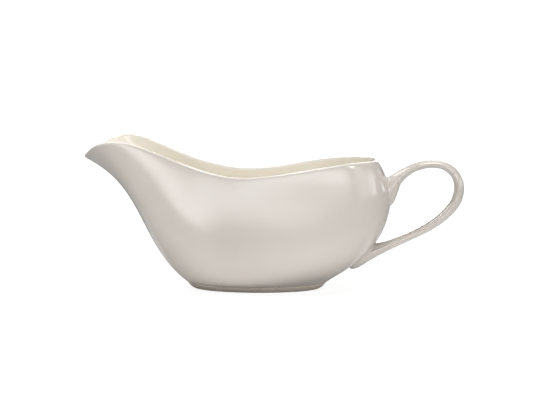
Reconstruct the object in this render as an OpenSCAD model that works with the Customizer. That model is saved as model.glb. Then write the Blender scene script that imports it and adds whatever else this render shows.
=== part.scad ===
// Glazed china gravy boat: a boat-shaped bowl on a low oval foot, with a broad pouring lip in front
// and a loop handle behind, stuck to the bowl with slip at its two ends.
// Millimetres, +Z up. The origin is the centre of the foot on the table, the spout points along -X,
// the handle along +X, and the part is the same on both sides of the XZ plane.

/* [Rim] */
// How far the tip of the spout reaches in front of the foot's centre
spout_reach = 97.2; // [95:0.2:100]
// How far the rim reaches behind the foot's centre
stern_reach = 70.1; // [69:0.1:71]
// Half the width of the pouring lip
lip_half_width = 34.4; // [32:0.2:35]
// Half the width of the rim at the neck behind the lip
neck_half_width = 27.4; // [26:0.1:29]
// Half the width of the rim at its widest
rim_half_width = 41.2; // [39:0.2:43]
// Height of the tip of the spout
tip_height = 73.6; // [72:0.2:75]
// Height of the sides of the lip, the highest part of the rim
lip_height = 83.4; // [82:0.1:84]
// Height of the rim where it dips lowest, beside the middle of the bowl
saddle_height = 64.8; // [64:0.1:66]
// Height of the rim over the handle
stern_height = 72.7; // [72:0.1:74]

/* [Wall] */
// Thickness of the bowl's wall, rim and floor
wall = 2.8; // [2.4:0.1:3.2]

/* [Foot] */
// Half the length of the foot where it meets the bowl
foot_half_length = 39.2; // [37:0.2:41]
// Half the width of the foot where it meets the bowl
foot_half_width = 28; // [27:0.2:30]
// Height of the foot ring
foot_height = 3.4; // [2.8:0.1:4]
// Width of the foot ring from its outside to its inside at the top
foot_band = 7.5; // [6.8:0.1:8.4]

/* [Handle] */
// Half the width of the handle's strap, across the boat
strap_half_width = 6.3; // [5.5:0.1:7]
// How sharply the strap's two edges are drawn out: 1 is an ellipse, more is a lens
strap_edge = 1.25; // [1:0.05:1.5]
// Thickness of the slip collar round each end of the handle
slip = 0.9; // [0.6:0.1:1.2]

/* [Hidden] */
around = 104; // facets round the bowl
rows = 20; // facet rows up its side
bead_steps = 6; // facets over the rounded rim
strap_steps = 76; // facet rows along the handle
strap_sides = 28; // facets round the strap

// Crest of the outer face, from the tip of the spout round one side to the stern: x, y, z.
rim_stations = [
  [-spout_reach, 0, tip_height],
  [-spout_reach + 2.7, 0.463 * lip_half_width, tip_height + 1.9],
  [-spout_reach + 10.8, 0.953 * lip_half_width, lip_height - 2.1],
  [-spout_reach + 24.5, lip_half_width, lip_height],
  [-55.2, 0.3 * lip_half_width + 0.7 * neck_half_width, lip_height - 5.4],
  [-35.2, neck_half_width, saddle_height + 5.2],
  [-13.2, 0.5 * (neck_half_width + rim_half_width), saddle_height],
  [8.5, rim_half_width, saddle_height + 0.7],
  [28.8, rim_half_width, saddle_height + 3.9],
  [stern_reach - 23.8, 0.85 * rim_half_width, stern_height - 1.4],
  [stern_reach - 10.3, 0.62 * rim_half_width, stern_height - 0.1],
  [stern_reach - 2.3, 0.325 * rim_half_width, stern_height + 0.1],
  [stern_reach, 0, stern_height]
];

// Four guide lines between the foot and the rim, each given where it passes under the spout [x, z],
// at the side [x, half width, z] and at the stern [x, z], then its fullness towards the spout and
// how far it follows the rim in and out.
guides = [
  [[-foot_half_length - 6.6, foot_height + 5.1], [-1.2, 37.4, foot_height + 1.2],
   [foot_half_length + 11.4, foot_height + 7.9], 0, 0],
  [[-64.7, 20.9], [12.8, 52.3, 13.8], [67.9, 17.4], -0.35, 0],
  [[-64.9, 50.3], [-18.2, 41.9, 39.3], [77.6, 35.7], -0.3, 0.57],
  [[-75, 62.3], [-9.4, 49.5, 55.4], [80.9, 54.5], -0.3, 0.76]
];

// The handle's outline in the XZ plane, station by station from the bowl's stern, over the top and
// back under the bowl: point on the outer edge, point on the inner edge, share of the strap's width.
strap_stations = [
  [[68.8, 62.9], [69.8, 47.7], 0.9],
  [[74.2, 63.9], [76.1, 47.5], 1],
  [[79, 66.7], [79.9, 54.7], 1],
  [[83.3, 69.3], [82.1, 60.3], 1],
  [[88.3, 71.8], [86.3, 64.6], 1],
  [[94.3, 73.5], [92.4, 67.9], 1],
  [[101, 73.9], [99.9, 69.1], 1],
  [[107.7, 72.5], [105.4, 68], 1],
  [[113.4, 68.5], [109.6, 64.8], 1],
  [[116.8, 61.9], [111.6, 60.2], 1],
  [[117.3, 54.9], [111.5, 55.4], 1],
  [[115.2, 48.6], [110, 51.4], 1],
  [[110.6, 42.6], [106.6, 46.7], 1],
  [[103.5, 36.6], [100.7, 41.2], 1],
  [[94.6, 31.4], [92.3, 35.8], 1],
  [[85.6, 27.1], [83.3, 31.5], 1],
  [[77.1, 23], [74.4, 28.1], 1.02],
  [[69.7, 19.2], [66.4, 25.7], 1.05],
  [[63.3, 15.4], [58.8, 22.7], 1.02],
  [[58, 12.2], [53.8, 17.8], 0.88],
  [[54.2, 11.3], [52.2, 14.4], 0.55],
  [[52.2, 12.3], [51.4, 13.4], 0.2]
];

function across(p) = [p[0], -p[1], p[2]];
function unit(v) = v / norm(v);

// A smooth curve through stations: its control points, found by repeated correction, and a point on
// it. A mirrored curve meets its own reflection at both ends; any other runs straight off its ends.
function padded(p, mirrored) = let(n = len(p) - 1) concat(
  [mirrored ? across(p[1]) : 2 * p[0] - p[1]], p,
  [mirrored ? across(p[n - 1]) : 2 * p[n] - p[n - 1]]);
function controls(q, mirrored, p, k) = let(e = padded(p, mirrored))
  k == 0 ? e : controls(q, mirrored, [for (i = [0:len(q) - 1]) (6 * q[i] - e[i] - e[i + 2]) / 4], k - 1);
function on_curve(e, u) = let(i = min(floor(u), len(e) - 4), f = u - i)
  ((1 - f)^3 * e[i] + (3 * f^3 - 6 * f^2 + 4) * e[i + 1]
   + (-3 * f^3 + 3 * f^2 + 3 * f + 1) * e[i + 2] + f^3 * e[i + 3]) / 6;

rim_controls = controls(rim_stations, true, rim_stations, 40);
function blend(c, front, side, back) =
  side + (front - back) / 2 * c + ((front + back) / 2 - side) * c^2;

// The six points that steer one profile of the bowl, from the foot to the rim, at plan angle a.
function steer(a) = let(c = cos(a), s = sin(a),
                        r = on_curve(rim_controls, a / 180 * (len(rim_stations) - 1))) concat(
  [[-foot_half_length * c, foot_half_width * s, foot_height]],
  [for (g = guides) [blend(c, g[0][0], g[1][0], g[2][0]),
                     (1 - g[4]) * g[1][1] * s * (1 + g[3] * c) + g[4] * r[1],
                     blend(c, g[0][1], g[1][2], g[2][1])]],
  [r]);
function profile(p, v) = let(w = 1 - v)
  w^5 * p[0] + 5 * v * w^4 * p[1] + 10 * v^2 * w^3 * p[2] + 10 * v^3 * w^2 * p[3]
  + 5 * v^4 * w * p[4] + v^5 * p[5];

// The bowl's outer face as points [column][row], then its outward and upward directions.
half = [for (i = [0:around / 2]) let(p = steer(i * 360 / around)) [for (j = [0:rows]) profile(p, j / rows)]];
skin = concat(half, [for (i = [around / 2 - 1:-1:1]) [for (p = half[i]) across(p)]]);
function along(i, j) = skin[(i + 1) % around][j] - skin[(i + around - 1) % around][j];
function upward(i, j) = skin[i][min(j + 1, rows)] - skin[i][max(j - 1, 0)];
normals = [for (i = [0:around - 1]) [for (j = [0:rows]) unit(cross(upward(i, j), along(i, j)))]];

// Joins rings of equal length into one closed surface, with a middle point closing each end.
module closed_loft(rings, first, last) {
  n = len(rings[0]);
  m = len(rings);
  points = concat([for (r = rings) each r], [first, last]);
  faces = concat(
    [for (j = [0:m - 2], i = [0:n - 1]) let(k = (i + 1) % n, a = j * n + i, b = j * n + k)
      each [[a, b, a + n], [b, b + n, a + n]]],
    [for (i = [0:n - 1]) [m * n, (i + 1) % n, i]],
    [for (i = [0:n - 1]) [m * n + 1, (m - 1) * n + i, (m - 1) * n + (i + 1) % n]]);
  polyhedron(points, faces, convexity = 8);
}

function skin_row(j, off) = [for (i = [0:around - 1]) skin[i][j] + off * normals[i][j]];

module bowl() {
  r = wall / 2;
  bead = [for (k = [1:bead_steps - 1]) [for (i = [0:around - 1])
    let(n = normals[i][rows], t = unit(cross(along(i, rows), n)), a = k * 180 / bead_steps)
    skin[i][rows] - r * n + r * (cos(a) * n + sin(a) * t)]];
  color([0.93, 0.91, 0.88])
    closed_loft(
      concat([for (j = [0:rows]) skin_row(j, 0)], bead, [for (j = [rows:-1:0]) skin_row(j, -wall)]),
      [0, 0, foot_height], [0, 0, foot_height + wall]);
}

// The bowl's outer face filled solid, grown outwards by off: what the handle is fitted against.
module bowl_block(off) {
  closed_loft([for (j = [0:rows]) skin_row(j, off)], [0, 0, foot_height - off], [0, 0, saddle_height]);
}

module foot_ring() {
  // Section of the ring: distance inwards from the outline at its top, and height.
  section = [[0, foot_height], [0.6, 0.72 * foot_height], [1.3, 0.5 * foot_height],
             [2.1, 0.3 * foot_height], [3, 0.5], [3.9, 0.1], [4.4, -0.15], [foot_band - 1.5, -0.2],
             [foot_band - 1.1, 0], [foot_band - 0.5, 0.8], [foot_band, foot_height]];
  n = len(section);
  points = [for (i = [0:around - 1], q = section) let(a = i * 360 / around)
    [-(foot_half_length - q[0]) * cos(a), (foot_half_width - q[0]) * sin(a), q[1]]];
  faces = [for (i = [0:around - 1], j = [0:n - 1])
    let(k = (i + 1) % around, l = (j + 1) % n, a = i * n + j, b = k * n + j, c = k * n + l, d = i * n + l)
    each [[a, d, b], [d, c, b]]];
  color([0.62, 0.57, 0.52])
    difference() {
      polyhedron(points, faces, convexity = 8);
      translate([-60, -60, -5]) cube([120, 120, 5]);
    }
}

strap_edges = [for (s = strap_stations) [s[0][0], s[0][1], s[1][0], s[1][1], s[2]]];
strap_controls = controls(strap_edges, false, strap_edges, 40);

// The strap, thickened by grow on every side.
module strap(grow) {
  rings = [for (j = [0:strap_steps])
    let(s = on_curve(strap_controls, j / strap_steps * (len(strap_edges) - 1)),
        outer = [s[0], s[1]], inner = [s[2], s[3]], mid = (outer + inner) / 2,
        out = (outer - inner) / 2 * (1 + grow / norm((outer - inner) / 2)),
        w = strap_half_width * s[4] + grow)
    [for (i = [0:strap_sides - 1]) let(a = -i * 360 / strap_sides, h = sign(sin(a)) * abs(sin(a))^strap_edge)
      [mid[0] + h * out[0], w * cos(a), mid[1] + h * out[1]]]];
  a = rings[0];
  b = rings[strap_steps];
  closed_loft(rings, (a[0] + a[strap_sides / 2]) / 2, (b[0] + b[strap_sides / 2]) / 2);
}

// The strap is cut back to the bowl's own facets, so the two meet face to face.
module handle() {
  color([0.93, 0.91, 0.88])
    resize([0, 0, 0])
      difference() {
        strap(0);
        bowl_block(0);
      }
}

// One collar of slip, where the strap meets the bowl between two heights.
module slip_collar(low, high) {
  resize([0, 0, 0])
    difference() {
      intersection() {
        strap(slip);
        bowl_block(slip);
        translate([40, -20, low]) cube([50, 40, high - low]);
      }
      strap(0);
      bowl_block(0);
    }
}

module upper_slip() {
  color([0.95, 0.93, 0.9]) slip_collar(42, 80);
}

module lower_slip() {
  color([0.95, 0.93, 0.9]) slip_collar(foot_height, 42);
}

bowl();
foot_ring();
handle();
upper_slip();
lower_slip();
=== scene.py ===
"""Looks of a glazed china gravy boat: a slip-cast bowl on a low oval foot, a loop handle stuck on behind.

Metres in the finished meshes; the design lines below are in millimetres, in the same frame as the CAD:
origin at the centre of the foot on the table, spout along -X, handle along +X, +Z up. The light is a world of
soft lobes, and the floor is plain white to the lens only.
"""
import math

import bmesh
import bpy
import numpy as np
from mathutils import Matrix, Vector
from mathutils.bvhtree import BVHTree


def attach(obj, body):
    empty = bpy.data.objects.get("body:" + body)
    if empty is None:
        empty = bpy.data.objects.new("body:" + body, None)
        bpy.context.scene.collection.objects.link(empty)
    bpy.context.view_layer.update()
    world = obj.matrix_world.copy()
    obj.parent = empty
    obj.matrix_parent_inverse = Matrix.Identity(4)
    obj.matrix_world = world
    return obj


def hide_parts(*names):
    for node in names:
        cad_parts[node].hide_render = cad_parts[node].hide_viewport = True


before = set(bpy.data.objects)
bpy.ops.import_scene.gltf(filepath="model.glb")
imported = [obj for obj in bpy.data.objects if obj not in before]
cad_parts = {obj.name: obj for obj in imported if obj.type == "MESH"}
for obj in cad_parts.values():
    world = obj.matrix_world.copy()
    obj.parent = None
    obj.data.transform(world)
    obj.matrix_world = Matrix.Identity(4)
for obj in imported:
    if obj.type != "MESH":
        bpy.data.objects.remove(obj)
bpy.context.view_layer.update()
MM = 0.001
FULL_TURN = 2 * math.pi

# ---------------------------------------------------------------- design lines of the bowl, mm
SPOUT, STERN = 97.2, 70.1  # how far the rim reaches from the foot's centre, towards -X and +X
LIP_W, NECK_W, RIM_W = 34.4, 27.4, 41.2  # half widths of the rim
TIP_Z, LIP_Z, SADDLE_Z, STERN_Z = 73.6, 83.4, 64.8, 72.7  # heights of the rim
WALL = 2.8
FOOT_A, FOOT_B, FOOT_H, FOOT_BAND = 39.2, 28.0, 3.4, 7.5  # half length, half width, height, ring's width
STRAP_W, STRAP_EDGE = 6.3, 1.25  # half width of the handle; power that thins the edges of its section

# the rim from the spout round the +Y side to the stern
RIM = np.array([
    (-SPOUT, 0, TIP_Z),
    (-SPOUT + 2.7, 0.463 * LIP_W, TIP_Z + 1.9),
    (-SPOUT + 10.8, 0.953 * LIP_W, LIP_Z - 2.1),
    (-SPOUT + 24.5, LIP_W, LIP_Z),
    (-55.2, 0.3 * LIP_W + 0.7 * NECK_W, LIP_Z - 5.4),
    (-35.2, NECK_W, SADDLE_Z + 5.2),
    (-13.2, 0.5 * (NECK_W + RIM_W), SADDLE_Z),
    (8.5, RIM_W, SADDLE_Z + 0.7),
    (28.8, RIM_W, SADDLE_Z + 3.9),
    (STERN - 23.8, 0.85 * RIM_W, STERN_Z - 1.4),
    (STERN - 10.3, 0.62 * RIM_W, STERN_Z - 0.1),
    (STERN - 2.3, 0.325 * RIM_W, STERN_Z + 0.1),
    (STERN, 0, STERN_Z)], float)

# under the spout (x, z), at the side (x, half width, z), at the stern (x, z), fullness, follow
GUIDES = [
    ((-FOOT_A - 6.6, FOOT_H + 5.1), (-1.2, 37.4, FOOT_H + 1.2), (FOOT_A + 11.4, FOOT_H + 7.9), 0.0, 0.0),
    ((-64.7, 20.9), (12.8, 52.3, 13.8), (67.9, 17.4), -0.35, 0.0),
    ((-64.9, 50.3), (-18.2, 41.9, 39.3), (77.6, 35.7), -0.3, 0.57),
    ((-75.0, 62.3), (-9.4, 49.5, 55.4), (80.9, 54.5), -0.3, 0.76)]

# outer edge x, z; inner edge x, z; share of the strap's width
STRAP = np.array([
    (68.8, 62.9, 69.8, 47.7, 0.9), (74.2, 63.9, 76.1, 47.5, 1), (79.0, 66.7, 79.9, 54.7, 1),
    (83.3, 69.3, 82.1, 60.3, 1), (88.3, 71.8, 86.3, 64.6, 1), (94.3, 73.5, 92.4, 67.9, 1),
    (101.0, 73.9, 99.9, 69.1, 1), (107.7, 72.5, 105.4, 68.0, 1), (113.4, 68.5, 109.6, 64.8, 1),
    (116.8, 61.9, 111.6, 60.2, 1), (117.3, 54.9, 111.5, 55.4, 1), (115.2, 48.6, 110.0, 51.4, 1),
    (110.6, 42.6, 106.6, 46.7, 1), (103.5, 36.6, 100.7, 41.2, 1), (94.6, 31.4, 92.3, 35.8, 1),
    (85.6, 27.1, 83.3, 31.5, 1), (77.1, 23.0, 74.4, 28.1, 1.02), (69.7, 19.2, 66.4, 25.7, 1.05),
    (63.3, 15.4, 58.8, 22.7, 1.02), (58.0, 12.2, 53.8, 17.8, 0.88), (54.2, 11.3, 52.2, 14.4, 0.55),
    (52.2, 12.3, 51.4, 13.4, 0.2)], float)


SETTLE_ROUNDS = 40


def padded(p, mirrored):
    """p with one more point at each end: the mirror image across the boat, or the line carried on."""
    if mirrored:
        flip = np.array([1.0, -1.0, 1.0])
        return np.vstack([p[1] * flip, p, p[-2] * flip])
    return np.vstack([2 * p[0] - p[1], p, 2 * p[-1] - p[-2]])


def controls(q, mirrored):
    """Control points of the smooth curve through the stations q, by repeated correction."""
    p = q.copy()
    for _ in range(SETTLE_ROUNDS):
        e = padded(p, mirrored)
        p = (6 * q - e[:-2] - e[2:]) / 4
    return padded(p, mirrored)


def on_curve(e, u):
    """Point of the cubic B-spline with control points e; u counts the stations from 0."""
    u = np.asarray(u, float)
    i = np.clip(np.floor(u).astype(int), 0, len(e) - 4)
    f = (u - i)[..., None]
    return ((1 - f) ** 3 * e[i] + (3 * f**3 - 6 * f**2 + 4) * e[i + 1]
            + (-3 * f**3 + 3 * f**2 + 3 * f + 1) * e[i + 2] + f**3 * e[i + 3]) / 6


RIM_C = controls(RIM, True)
STRAP_C = controls(STRAP, False)


def blend(c, front, side, back):
    """front at c = 1, side at c = 0 and back at c = -1."""
    return side + (front - back) / 2 * c + ((front + back) / 2 - side) * c**2


def skin(a, v):
    """Point of the bowl's outer face: a is the plan angle in radians, 0 under the spout, and v goes from 0 at
    the foot to 1 at the rim."""
    a = np.mod(np.asarray(a, float), FULL_TURN)
    other = a > math.pi
    h = np.where(other, FULL_TURN - a, a)
    c, s = np.cos(h), np.sin(h)
    r = on_curve(RIM_C, h / math.pi * (len(RIM) - 1))
    p = [np.stack([-FOOT_A * c, FOOT_B * s, np.full_like(c, FOOT_H)], -1)]
    for spout, side, stern, full, follow in GUIDES:
        y = (1 - follow) * side[1] * s * (1 + full * c) + follow * r[..., 1]
        x, z = blend(c, spout[0], side[0], stern[0]), blend(c, spout[1], side[2], stern[1])
        p.append(np.stack([x, y, z], -1))
    p.append(r)
    v = np.asarray(v, float)[..., None]
    top = len(p) - 1
    out = sum(math.comb(top, k) * v**k * (1 - v) ** (top - k) * p[k] for k in range(top + 1))
    out[..., 1] = np.where(other, -out[..., 1], out[..., 1])
    return out


def skin_frame(a, v):
    """Point, outward normal and direction along the rim."""
    e = 1e-4
    along = skin(a + e, v) - skin(a - e, v)
    up = skin(a, np.minimum(v + e, 1)) - skin(a, np.maximum(v - e, 0))
    n = np.cross(up, along)
    n /= np.linalg.norm(n, axis=-1, keepdims=True)
    along /= np.linalg.norm(along, axis=-1, keepdims=True)
    return skin(a, v), n, along


# ---------------------------------------------------------------- mesh helpers
def ring_faces(n, m, closed=False):
    """Faces between m rings of n points; closed joins the last ring to the first."""
    faces = []
    for j in range(m if closed else m - 1):
        k = (j + 1) % m
        for i in range(n):
            o = (i + 1) % n
            faces.append((j * n + i, j * n + o, k * n + o, k * n + i))
    return faces


def ring_mesh(name, rings, closed=False, first=None, last=None):
    """Rings of equal length joined into a surface; first and last are points that close its ends."""
    n, m = len(rings[0]), len(rings)
    verts = [tuple(p) for r in rings for p in r]
    faces = ring_faces(n, m, closed)
    if first is not None:
        verts.append(tuple(first))
        faces += [(len(verts) - 1, (i + 1) % n, i) for i in range(n)]
    if last is not None:
        verts.append(tuple(last))
        faces += [(len(verts) - 1, (m - 1) * n + i, (m - 1) * n + (i + 1) % n) for i in range(n)]
    mesh = bpy.data.meshes.new(name)
    mesh.from_pydata([(x * MM, y * MM, z * MM) for x, y, z in verts], [], faces)
    bm = bmesh.new()
    bm.from_mesh(mesh)
    bmesh.ops.recalc_face_normals(bm, faces=bm.faces)
    bm.to_mesh(mesh)
    bm.free()
    mesh.shade_smooth()
    obj = bpy.data.objects.new(name, mesh)
    bpy.context.scene.collection.objects.link(obj)
    return obj


def float_attribute(obj, name, values):
    layer = obj.data.attributes.new(name, "FLOAT", "POINT")
    layer.data.foreach_set("value", np.asarray(values, np.float32))


# ---------------------------------------------------------------- the bowl
AROUND, ROWS, BEAD = 288, 72, 14  # points round the bowl, rows up its wall, steps over the rounded rim
INNER_FLOOR, FLOOR_SOFT = FOOT_H + WALL + 0.15, 1.3  # height of the inner bottom, softness of its corner
# the rings of the inner bottom, as shares of the distance from the centre to the wall
FLOOR_RINGS = (0.97, 0.94, 0.9, 0.85, 0.79, 0.72, 0.62, 0.5, 0.36, 0.2, 0.08)

angles = np.linspace(0, FULL_TURN, AROUND, endpoint=False)
outer, normal, along = skin_frame(*np.meshgrid(angles, np.linspace(0, 1, ROWS + 1)))

half_wall, rim_out = WALL / 2, normal[-1]
rim_up = np.cross(along[-1], rim_out)
rim_up *= np.sign(rim_up[:, 2:3])
bead = [outer[-1] - half_wall * rim_out + half_wall * (math.cos(t) * rim_out + math.sin(t) * rim_up)
        for t in np.linspace(0, math.pi, BEAD + 1)[1:-1]]

inner = outer - WALL * normal
inside_rows = [inner[j] for j in range(ROWS, -1, -1)]
edge = inner[0]
step = inner[2] - inner[0]
slope = step[:, 2] / np.linalg.norm(step[:, :2], axis=-1)
for f in FLOOR_RINGS:
    reach = np.linalg.norm(edge[:, :2], axis=-1) * (1 - f)
    inside_rows.append(np.column_stack([edge[:, :2] * f, edge[:, 2] - slope * reach]))
for row in inside_rows:
    d = row[:, 2] - INNER_FLOOR
    lifted = 0.5 * (d + np.sqrt(d * d + FLOOR_SOFT**2))
    row[:, 2] = INNER_FLOOR + lifted - 0.25 * FLOOR_SOFT**2 / np.maximum(d + 3 * FLOOR_SOFT, FLOOR_SOFT)

rings = list(outer) + bead + inside_rows
bottom_z = float(inside_rows[-1][:, 2].mean())
bowl = ring_mesh("bowl_body", rings, first=(0, 0, FOOT_H), last=(0, 0, bottom_z))
# how far over the rim each ring lies: 0 on the outer face, 1 inside; then the two end points' own values
over_rim = np.concatenate([np.zeros(ROWS + 1), np.arange(1, BEAD) / BEAD, np.ones(len(inside_rows))])
float_attribute(bowl, "inside", np.append(np.repeat(over_rim, AROUND), (0, 1)))
float_attribute(bowl, "rim", np.append(np.repeat(np.sin(over_rim * math.pi), AROUND), (0, 0)))

tree = BVHTree.FromPolygons([Vector(p) for p in outer.reshape(-1, 3)], ring_faces(AROUND, ROWS + 1))
BOWL_MIDDLE = Vector((0, 0, 40))  # a point inside the bowl, to tell outward from inward


def off_bowl(p):
    """Distance outside the bowl's outer face, its nearest point and the outward normal there."""
    hit, n, _, _ = tree.find_nearest(Vector(p))
    if n.dot(hit - BOWL_MIDDLE) < 0 and n.dot(Vector((hit.x, hit.y, 0))) < 0:
        n = -n
    return (Vector(p) - hit).dot(n), hit, n


# ---------------------------------------------------------------- the handle and its two collars of slip
def strap_point(u, a):
    """Point of the strap at station u and section angle a, 0 at the +Y edge, then over the outer face."""
    s = on_curve(STRAP_C, u)
    h = math.copysign(abs(math.sin(a)) ** STRAP_EDGE, math.sin(a))
    mid, out = (s[:2] + s[2:4]) / 2, (s[:2] - s[2:4]) / 2
    return np.array([mid[0] + h * out[0], STRAP_W * s[4] * math.cos(a), mid[1] + h * out[1]])


def strap_normal(u, a):
    e = 1e-3
    du = strap_point(u + e, a) - strap_point(u - e, a)
    da = strap_point(u, a + e) - strap_point(u, a - e)
    n = np.cross(du, da)
    n /= max(np.linalg.norm(n), 1e-9)
    s = on_curve(STRAP_C, u)
    mid = np.array([(s[0] + s[2]) / 2, 0, (s[1] + s[3]) / 2])
    return n if n @ (strap_point(u, a) - mid) > 0 else -n


def where_off(a, root, gap):
    """u within the root where the strap's line at section angle a is gap outside the bowl, by halving."""
    lo, hi = root
    f_lo = off_bowl(strap_point(lo, a))[0] - gap
    for _ in range(HALVINGS):
        mid = (lo + hi) / 2
        f = off_bowl(strap_point(mid, a))[0] - gap
        if (f > 0) == (f_lo > 0):
            lo = mid
        else:
            hi = mid
    return (lo + hi) / 2


SIDES, HALVINGS = 96, 24
LAST_U = float(len(STRAP) - 1)
FREE_FROM, FREE_TO = 3.0, 14.0  # the stations between which nothing is drawn in
UPPER_ROOT, LOWER_ROOT = (0.0, 3.5), (FREE_TO, LAST_U)
BURIED = 0.8  # how deep the strap's ends run into the bowl's wall
CAP_SHARES = (0.7, 0.4, 0.15)  # the rings that close an end, as shares of its size
COLLAR_BACK = 0.45  # how deep the collars' closing line lies
section_angles = np.linspace(0, FULL_TURN, SIDES, endpoint=False) + math.pi / SIDES
starts = [where_off(a, UPPER_ROOT, -BURIED) for a in section_angles]
stops = [where_off(a, LOWER_ROOT, -BURIED) for a in section_angles]


def strap_u(t, start, stop):
    """t drawn in at both ends, so that every line of the strap begins and ends inside the bowl's wall."""
    if t < FREE_FROM:
        return start + (FREE_FROM - start) * t / FREE_FROM
    if t > FREE_TO:
        return FREE_TO + (stop - FREE_TO) * (t - FREE_TO) / (LAST_U - FREE_TO)
    return t


steps = np.concatenate([np.linspace(0, FREE_FROM, 40)[:-1], np.linspace(FREE_FROM, FREE_TO, 150)[:-1],
                        np.linspace(FREE_TO, LAST_U, 70)])
rings = [np.array([strap_point(strap_u(t, start, stop), a)
                   for a, start, stop in zip(section_angles, starts, stops)]) for t in steps]


def buried_cap(ring):
    """Rings that close the strap's end inside the bowl's wall."""
    centre = ring.mean(0)
    out = []
    for f in CAP_SHARES:
        row = []
        for p in ring:
            q = centre + (p - centre) * f
            _, hit, n = off_bowl(q)
            row.append(np.array(hit - n * BURIED))
        out.append(np.array(row))
    _, hit, n = off_bowl(centre)
    return out, np.array(hit - n * BURIED)


cap0, tip0 = buried_cap(rings[0])
cap1, tip1 = buried_cap(rings[-1])
handle = ring_mesh("handle_strap", cap0[::-1] + rings + cap1, first=tip0, last=tip1)


def collar(name, root, strap_gap, bowl_reach, parts=12):
    """A concave fillet of slip between the strap and the bowl, closed by one line inside them."""
    rows = [[] for _ in range(parts + 2)]
    norms = [[] for _ in range(parts + 2)]
    for a in section_angles:
        uj = where_off(a, root, 0.0)
        ua = where_off(a, root, strap_gap)
        top, foot = strap_point(ua, a), strap_point(uj, a)
        ns = strap_normal(uj, a)
        _, hit, nb = off_bowl(foot)
        nb = np.array(nb)
        t = ns - (ns @ nb) * nb
        t /= max(np.linalg.norm(t), 1e-6)
        _, far, nf = off_bowl(foot + t * bowl_reach)
        far, nf = np.array(far), np.array(nf)
        na = strap_normal(ua, a)
        for k in range(parts + 1):
            s = k / parts
            rows[k].append((1 - s) ** 2 * top + 2 * s * (1 - s) * foot + s * s * far)
            n = (1 - s) * na + s * nf
            norms[k].append(n / np.linalg.norm(n))
        outward = (nb + ns) / np.linalg.norm(nb + ns)
        rows[-1].append(foot - COLLAR_BACK * outward)
        norms[-1].append(-outward)
    obj = ring_mesh(name, [np.array(q) for q in rows], closed=True)
    obj.data.normals_split_custom_set_from_vertices([tuple(n) for row in norms for n in row])
    return obj


upper = collar("upper_slip_fillet", UPPER_ROOT, strap_gap=1.0, bowl_reach=1.3)
lower = collar("lower_slip_fillet", LOWER_ROOT, strap_gap=0.9, bowl_reach=1.2)

# ---------------------------------------------------------------- the foot ring
# distance in from the foot's outline, height
section = [(-0.02, FOOT_H + 0.25), (0.12, FOOT_H - 0.25), (0.6, 0.72 * FOOT_H), (1.3, 0.5 * FOOT_H),
           (2.1, 0.3 * FOOT_H), (3.0, 0.5), (3.7, 0.18), (4.4, 0.02), (4.8, 0.0), (FOOT_BAND - 1.6, 0.0),
           (FOOT_BAND - 1.2, 0.08), (FOOT_BAND - 0.8, 0.4), (FOOT_BAND - 0.45, 1.1),
           (FOOT_BAND - 0.15, 0.7 * FOOT_H), (FOOT_BAND, FOOT_H)]
foot_rings = [np.column_stack([-(FOOT_A - d) * np.cos(angles), (FOOT_B - d) * np.sin(angles),
                               np.full(AROUND, z)]) for d, z in section]
foot = ring_mesh("foot_ring_band", foot_rings, closed=True)
# Below this the outer side takes the dark biscuit colour: bare body, and painted shade where the foot meets
# the floor.
GLAZED_ABOVE = 0.85  # share of the foot's height from which the outer side begins to be glazed
bare_and_shaded = [min(max(1 + GLAZED_ABOVE - z / FOOT_H, 0), 1) if d < FOOT_BAND / 2 else 1 for d, z in section]
float_attribute(foot, "bare_and_shaded", np.repeat(bare_and_shaded, AROUND))

# ---------------------------------------------------------------- materials
MIX_A, MIX_B, MIX_RESULT = 6, 7, 2  # the mix node's colour sockets


class Nodes:
    """A node tree, with short calls for the few nodes used here."""

    def __init__(self, owner, output):
        owner.use_nodes = True
        self.tree = owner.node_tree
        self.tree.nodes.clear()
        self.output = self.add(output)

    def add(self, kind, **settings):
        node = self.tree.nodes.new(kind)
        for key, value in settings.items():
            setattr(node, key, value)
        return node

    def link(self, a, b):
        self.tree.links.new(a, b)

    def noise(self, scale, detail, vector):
        node = self.add("ShaderNodeTexNoise")
        node.inputs["Scale"].default_value = scale
        node.inputs["Detail"].default_value = detail
        self.link(vector, node.inputs["Vector"])
        return node.outputs["Fac"]

    def span(self, value, lo, hi, to_lo, to_hi, ends="LINEAR"):
        """to_lo to to_hi as the value goes from lo to hi, held at both ends."""
        node = self.add("ShaderNodeMapRange", interpolation_type=ends)
        for key, v in (("From Min", lo), ("From Max", hi), ("To Min", to_lo), ("To Max", to_hi)):
            node.inputs[key].default_value = v
        self.link(value, node.inputs["Value"])
        return node.outputs["Result"]

    def math(self, operation, a, b):
        node = self.add("ShaderNodeMath", operation=operation)
        for socket, v in zip(node.inputs, (a, b)):
            if isinstance(v, float):
                socket.default_value = v
            else:
                self.link(v, socket)
        return node.outputs[0]

    def vector(self, operation, a, b):
        """The number that a vector operation makes of the vector a and the constant b."""
        node = self.add("ShaderNodeVectorMath", operation=operation)
        self.link(a, node.inputs[0])
        node.inputs[1].default_value = b
        return node.outputs["Value"]

    def mix(self, factor, a, b):
        node = self.add("ShaderNodeMix", data_type="RGBA")
        self.link(factor, node.inputs["Factor"])
        for socket, v in ((node.inputs[MIX_A], a), (node.inputs[MIX_B], b)):
            if isinstance(v, tuple):
                socket.default_value = (*v, 1)
            else:
                self.link(v, socket)
        return node.outputs[MIX_RESULT]

    def coordinate(self, kind):
        return self.add("ShaderNodeTexCoord").outputs[kind]

    def attribute(self, name):
        return self.add("ShaderNodeAttribute", attribute_name=name).outputs["Fac"]

    def bump(self, height, distance, strength):
        node = self.add("ShaderNodeBump")
        node.inputs["Distance"].default_value = distance
        node.inputs["Strength"].default_value = strength
        self.link(height, node.inputs["Height"])
        return node.outputs["Normal"]

    def finish(self, shader):
        self.link(shader.outputs[0], self.output.inputs[0])


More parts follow.
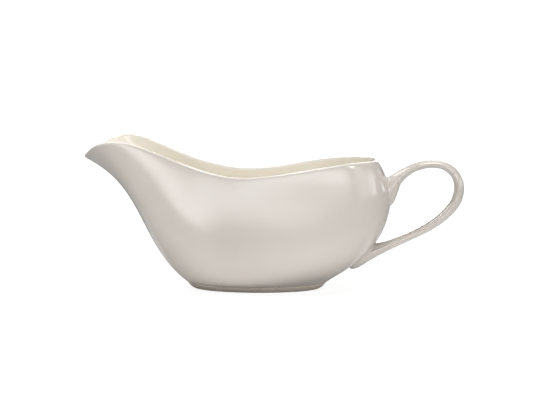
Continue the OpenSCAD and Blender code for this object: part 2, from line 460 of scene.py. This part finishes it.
GLAZE_DEEP, GLAZE_PALE = (0.598, 0.553, 0.503), (0.618, 0.573, 0.524)
# The inside colour is a lit copy of the glaze: painted light of the bounce inside the bowl.
GLAZE_INSIDE_LIT, GLAZE_EDGE = (0.80, 0.757, 0.665), (0.66, 0.62, 0.57)
# The two biscuit colours are darker than the real bare body: painted shade of the foot's contact with the
# floor.
SPECK, SHADED_BISCUIT_DARK, SHADED_BISCUIT_PALE = (0.42, 0.37, 0.32), (0.38, 0.335, 0.29), (0.46, 0.41, 0.36)
GLAZE_IOR = 1.52
GLOSS_LOW, GLOSS_HIGH = 0.06, 0.10  # roughness of the glaze
FOOT_GLOSS, BISCUIT_GLOSS = 0.16, 0.62  # roughness of the foot, glazed and bare
# scale and detail of each noise
TONE_NOISE, GLOSS_NOISE, RIPPLE_NOISE, FINE_NOISE, GRAIN_NOISE = (24, 3), (70, 2), (45, 1), (300, 1), (900, 4)
TONE_RANGE, NOISE_RANGE = (0.32, 0.68), (0.3, 0.7)  # the part of a noise's values that is used
FINE_SHARE = 0.04  # how much of the ripple is fine
RIPPLE_DEPTH, RIPPLE_STRENGTH = 0.0003, 0.06
GRAIN_DEPTH, GRAIN_STRENGTH = 0.0002, 0.12
SPECK_SCALE, SPECK_SIZE = 120, 0.045
SPECK_FROM, SPECK_TINT = 0.88, 0.55  # a cell has a speck when its chance is above the first; its strength


def glaze_material():
    """Warm white glaze over china, a touch paler on the rim, with a few specks; inside the bowl it is painted
    paler and creamier, painted light that stands in for the light bouncing round inside the bowl.
    """
    material = bpy.data.materials.new("glazed_china")
    g = Nodes(material, "ShaderNodeOutputMaterial")
    place = g.coordinate("Object")
    body = g.mix(g.span(g.noise(*TONE_NOISE, place), *TONE_RANGE, 0, 1), GLAZE_DEEP, GLAZE_PALE)
    # painted light: the inside is made paler and creamier than the same glaze outside
    body = g.mix(g.attribute("inside"), body, GLAZE_INSIDE_LIT)
    body = g.mix(g.attribute("rim"), body, GLAZE_EDGE)
    cells = g.add("ShaderNodeTexVoronoi")
    cells.inputs["Scale"].default_value = SPECK_SCALE
    g.link(place, cells.inputs["Vector"])
    near = g.math("LESS_THAN", cells.outputs["Distance"], SPECK_SIZE)
    chance = g.add("ShaderNodeSeparateColor")
    g.link(cells.outputs["Color"], chance.inputs[0])
    rare = g.math("GREATER_THAN", chance.outputs[0], SPECK_FROM)
    speck = g.math("MULTIPLY", g.math("MULTIPLY", near, rare), SPECK_TINT)
    body = g.mix(speck, body, SPECK)
    shader = g.add("ShaderNodeBsdfPrincipled")
    g.link(body, shader.inputs["Base Color"])
    gloss = g.span(g.noise(*GLOSS_NOISE, place), *NOISE_RANGE, GLOSS_LOW, GLOSS_HIGH)
    g.link(gloss, shader.inputs["Roughness"])
    shader.inputs["IOR"].default_value = GLAZE_IOR
    fine = g.math("MULTIPLY", g.noise(*FINE_NOISE, place), FINE_SHARE)
    ripple = g.math("ADD", g.noise(*RIPPLE_NOISE, place), fine)
    g.link(g.bump(ripple, RIPPLE_DEPTH, RIPPLE_STRENGTH), shader.inputs["Normal"])
    g.finish(shader)
    return material


def foot_material():
    """Fired body with the glaze wiped off, coloured much darker than bare body as painted shade where the
    foot meets the floor; a little glaze is left towards the top of the outer side.
    """
    material = bpy.data.materials.new("foot_biscuit_painted_shade")
    g = Nodes(material, "ShaderNodeOutputMaterial")
    grain = g.noise(*GRAIN_NOISE, g.coordinate("Object"))
    # bare body darkened as painted shade, with a random grain
    shaded_biscuit = g.mix(g.span(grain, *NOISE_RANGE, 0, 1), SHADED_BISCUIT_DARK, SHADED_BISCUIT_PALE)
    bare_and_shaded = g.attribute("bare_and_shaded")
    shader = g.add("ShaderNodeBsdfPrincipled")
    # glaze at the top of the outer side, the biscuit colour darkened as painted shade below it
    g.link(g.mix(bare_and_shaded, GLAZE_DEEP, shaded_biscuit), shader.inputs["Base Color"])
    g.link(g.span(bare_and_shaded, 0, 1, FOOT_GLOSS, BISCUIT_GLOSS), shader.inputs["Roughness"])
    g.link(g.bump(grain, GRAIN_DEPTH, GRAIN_STRENGTH), shader.inputs["Normal"])
    g.finish(shader)
    return material


materials = {"glaze": glaze_material(), "foot": foot_material()}
for piece, node, slot in (
        (bowl, "bowl", "glaze"),
        (handle, "handle", "glaze"),
        (upper, "upper_slip", "glaze"),
        (lower, "lower_slip", "glaze"),
        (foot, "foot_ring", "foot")):
    piece.data.materials.append(materials[slot])
    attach(piece, "root")
    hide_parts(node)

# ---------------------------------------------------------------- floor, light, camera
FLOOR_HALF = 12.0
# What the glaze picks up from below: a pale sheet, fading over its own radius into a greyer table.
SHEET_CENTRE, SHEET_RADIUS = (0.02, -0.01, 0.0), 0.10
SHEET_WHITE, TABLE_GREY = (0.74, 0.74, 0.74), (0.31, 0.31, 0.31)
# What the lens sees: plain white, still darkened a little by shadows.
SEEN_PAPER, SEEN_GLOW = 0.3, 0.85

floor_mesh = bpy.data.meshes.new("floor")
corners = [(x * FLOOR_HALF, y * FLOOR_HALF, 0) for x, y in ((-1, -1), (1, -1), (1, 1), (-1, 1))]
floor_mesh.from_pydata(corners, [], [(0, 1, 2, 3)])
floor = bpy.data.objects.new("floor", floor_mesh)
bpy.context.scene.collection.objects.link(floor)
floor_white = bpy.data.materials.new("floor_white")
g = Nodes(floor_white, "ShaderNodeOutputMaterial")
bounce = g.add("ShaderNodeBsdfDiffuse")
away = g.vector("DISTANCE", g.coordinate("Object"), SHEET_CENTRE)
near = g.span(away, SHEET_RADIUS, 2 * SHEET_RADIUS, 1, 0)
g.link(g.mix(near, TABLE_GREY, SHEET_WHITE), bounce.inputs["Color"])
paper = g.add("ShaderNodeBsdfDiffuse")
paper.inputs["Color"].default_value = (SEEN_PAPER, SEEN_PAPER, SEEN_PAPER, 1)
lit = g.add("ShaderNodeEmission")
lit.inputs["Strength"].default_value = SEEN_GLOW
seen = g.add("ShaderNodeAddShader")
g.link(paper.outputs[0], seen.inputs[0])
g.link(lit.outputs[0], seen.inputs[1])
pick = g.add("ShaderNodeMixShader")
g.link(g.add("ShaderNodeLightPath").outputs["Is Camera Ray"], pick.inputs[0])
g.link(bounce.outputs[0], pick.inputs[1])
g.link(seen.outputs[0], pick.inputs[2])
g.finish(pick)
floor_mesh.materials.append(floor_white)

# Round soft lights: azimuth from the viewing side (-Y) towards +X, elevation, half angle, all in degrees, and
# brightness.
SOFT_LIGHTS = (
    (0, 90, 24, 11.0),
    (243, 38, 20, 6.0),
    (180, 36, 26, 1.2),
    (180, 8, 26, 5.5),
    (72, 24, 6, 12.0),
    (82, 9, 18, 2.5),
    (104, 5, 16, 3.8),
    (132, 3, 13, 3.0),
)
FULL_SHARE = 0.15  # share of the half angle within which such a light is at full brightness
# One long soft light low in front: it grows from BAND_FOOT to BAND_EL and is gone at BAND_TOP; sideways it is
# full up to BAND_FULL from its middle at BAND_AZ and gone at BAND_END. All in degrees.
BAND_BRIGHT, BAND_FOOT, BAND_EL, BAND_TOP = 6.2, -3, 12, 26
BAND_AZ, BAND_FULL, BAND_END = 4, 46, 68


def sin_deg(degrees):
    return math.sin(math.radians(degrees))


def cos_deg(degrees):
    return math.cos(math.radians(degrees))


def direction(azimuth, elevation):
    level = cos_deg(elevation)
    return sin_deg(azimuth) * level, -cos_deg(azimuth) * level, sin_deg(elevation)


world = bpy.data.worlds.new("studio")
bpy.context.scene.world = world
g = Nodes(world, "ShaderNodeOutputWorld")
way = g.coordinate("Generated")
axes = g.add("ShaderNodeSeparateXYZ")
g.link(way, axes.inputs[0])
height = axes.outputs["Z"]
rise = g.span(height, sin_deg(BAND_FOOT), sin_deg(BAND_EL), 0, BAND_BRIGHT, "SMOOTHSTEP")
fall = g.span(height, sin_deg(BAND_TOP), sin_deg(BAND_EL), 0, 1, "SMOOTHSTEP")
ahead = g.vector("DOT_PRODUCT", way, direction(BAND_AZ, 0))
ends = g.span(ahead, cos_deg(BAND_END), cos_deg(BAND_FULL), 0, 1, "SMOOTHSTEP")
light = g.math("MULTIPLY", g.math("MULTIPLY", rise, fall), ends)
for azimuth, elevation, half, bright in SOFT_LIGHTS:
    closeness = g.vector("DOT_PRODUCT", way, direction(azimuth, elevation))
    lamp = g.span(closeness, cos_deg(half), cos_deg(FULL_SHARE * half), 0, bright, "SMOOTHSTEP")
    light = g.math("ADD", light, lamp)
background = g.add("ShaderNodeBackground")
g.link(light, background.inputs["Strength"])
g.finish(background)

AIM = Vector((9.0 * MM, 0, 50.14 * MM))
VIEW_AWAY, VIEW_HEIGHT, VIEW_AZ = 1.5, 0.191, 5.0  # metres, metres, degrees from -Y towards +X
FRAME_WIDTH = 0.3091322  # what the picture spans at the boat's distance, metres
SENSOR_WIDTH, NEAR_LIMIT = 36, 0.05
cam_data = bpy.data.cameras.new("camera")
cam = bpy.data.objects.new("camera", cam_data)
cam.location = (AIM.x + VIEW_AWAY * sin_deg(VIEW_AZ), -VIEW_AWAY * cos_deg(VIEW_AZ), VIEW_HEIGHT)
cam.rotation_euler = (AIM - cam.location).to_track_quat("-Z", "Y").to_euler()
cam_data.sensor_width = SENSOR_WIDTH
cam_data.lens = (AIM - cam.location).length / FRAME_WIDTH * SENSOR_WIDTH
cam_data.clip_start = NEAR_LIMIT
bpy.context.scene.collection.objects.link(cam)
bpy.context.scene.camera = cam
bpy.context.scene.view_settings.view_transform = "Standard"
